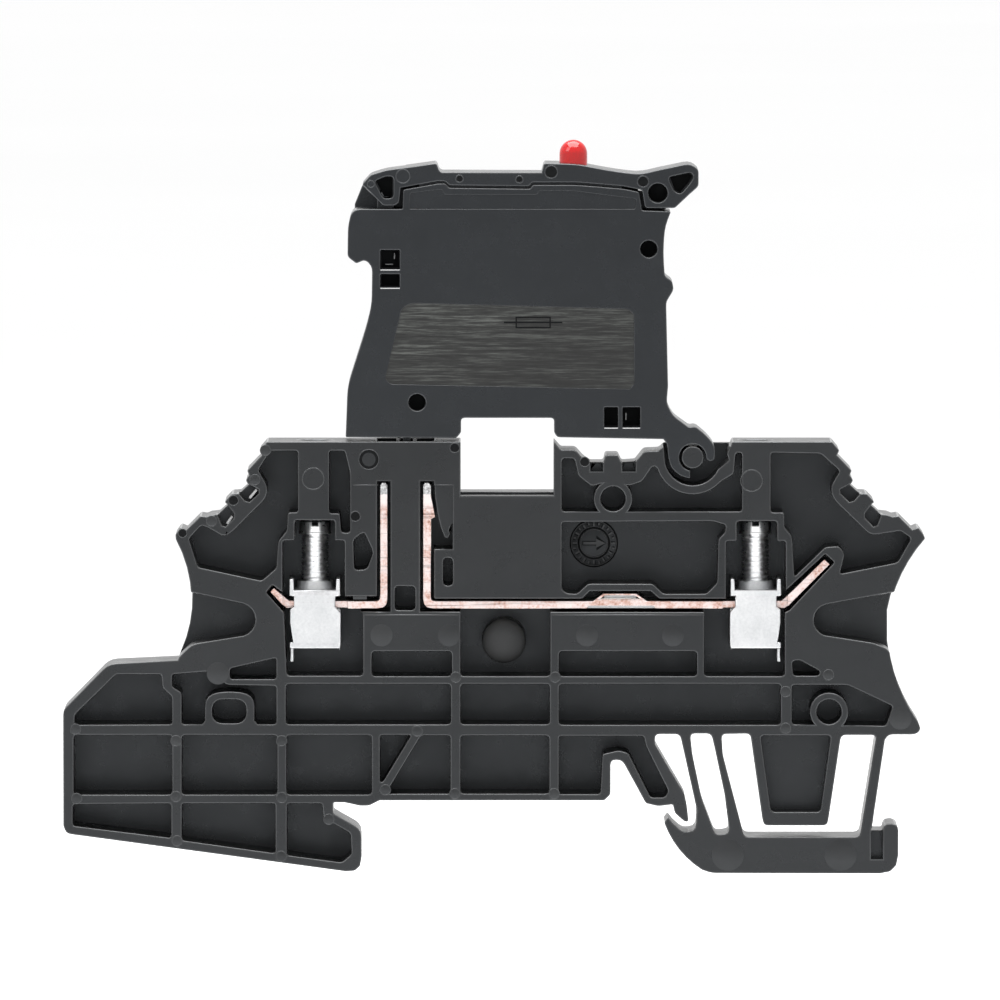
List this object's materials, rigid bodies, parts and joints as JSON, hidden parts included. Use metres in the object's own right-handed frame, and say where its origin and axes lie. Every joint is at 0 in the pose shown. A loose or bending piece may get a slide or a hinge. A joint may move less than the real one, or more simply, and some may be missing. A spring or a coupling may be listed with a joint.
{
  "type": "fuse terminal block",
  "caption": "Rail-mounted fuse terminal block with a swinging fuse lever, a lid with a blown-fuse lamp, screw clamps and an open ribbed side.",
  "frame": {"origin": "on the flat underside of the housing, over the centre line of the 35 mm rail and at the middle of the block's thickness", "axes": "+X across the rail towards the sprung foot, +Y along the rail towards the closed back wall, +Z away from the rail"},
  "size_m": [0.0893, 0.0092, 0.076],
  "materials": {
    "housing_polyamide": "dark grey moulded polyamide, lightly textured",
    "lever_polyamide": "dark grey moulded polyamide, satin",
    "zinc_steel": "bright zinc plated",
    "tinned_copper": "tinned strip with bare copper cut edges",
    "spring_bronze": "bright spring strip",
    "nickel_cap": "nickel plated",
    "fuse_wire_metal": "drawn wire",
    "clear_glass": "clear tube",
    "red_lens": "tinted clear resin",
    "board_laminate": "glass-fibre laminate",
    "chip_black": "moulded epoxy",
    "dark_steel": "plain steel"
  },
  "bodies": {
    "block": {"housing": "housing_polyamide", "left_busbar": "tinned_copper", "right_busbar": "tinned_copper"},
    "left_screw": {"left_clamp_screw": "zinc_steel"},
    "right_screw": {"right_clamp_screw": "zinc_steel"},
    "left_yoke": {"left_clamp_yoke": "zinc_steel"},
    "right_yoke": {"right_clamp_yoke": "zinc_steel"},
    "lever": {"lever_front_shell": "lever_polyamide", "lever_back_shell": "lever_polyamide", "lid_hinge_pin": "dark_steel", "left_fuse_contact": "tinned_copper", "right_fuse_contact": "tinned_copper", "fuse_glass_tube": "clear_glass", "fuse_left_cap": "nickel_cap", "fuse_right_cap": "nickel_cap", "fuse_wire": "fuse_wire_metal"},
    "lid": {"lid": "lever_polyamide", "led_lens": "red_lens", "led_anode_lead": "dark_steel", "led_cathode_lead": "dark_steel", "led_circuit_board": "board_laminate", "led_resistor": "chip_black", "led_diode": "chip_black", "left_indicator_leaf": "spring_bronze", "right_indicator_leaf": "spring_bronze"}
  },
  "joints": [
    {"name": "lever_swing", "type": "hinge", "parent": "block", "child": "lever", "pos_m": [0.01965, 0, 0.0356], "axis": [0, 1, 0], "range_deg": [0, 90]},
    {"name": "lid_swing", "type": "hinge", "parent": "lever", "child": "lid", "pos_m": [-0.01215, 0, 0.06295], "axis": [0, -1, 0], "range_deg": [0, 50]},
    {"name": "left_screw_turn", "type": "hinge", "parent": "block", "child": "left_screw", "pos_m": [-0.0195, -0.0005, 0.025], "axis": [0, 0, -1], "range_deg": [0, 2160]},
    {"name": "right_screw_turn", "type": "hinge", "parent": "block", "child": "right_screw", "pos_m": [0.0262, -0.0005, 0.025], "axis": [0, 0, -1], "range_deg": [0, 2160]},
    {"name": "left_yoke_slide", "type": "slide", "parent": "block", "child": "left_yoke", "axis": [0, 0, 1], "range_m": [0, 0.003]},
    {"name": "right_yoke_slide", "type": "slide", "parent": "block", "child": "right_yoke", "axis": [0, 0, 1], "range_m": [0, 0.003]}
  ],
  "couplings": [
    {"joint": "left_screw_turn", "follows": "left_yoke_slide", "rad_per_m": 12566},
    {"joint": "right_screw_turn", "follows": "right_yoke_slide", "rad_per_m": 12566}
  ]
}
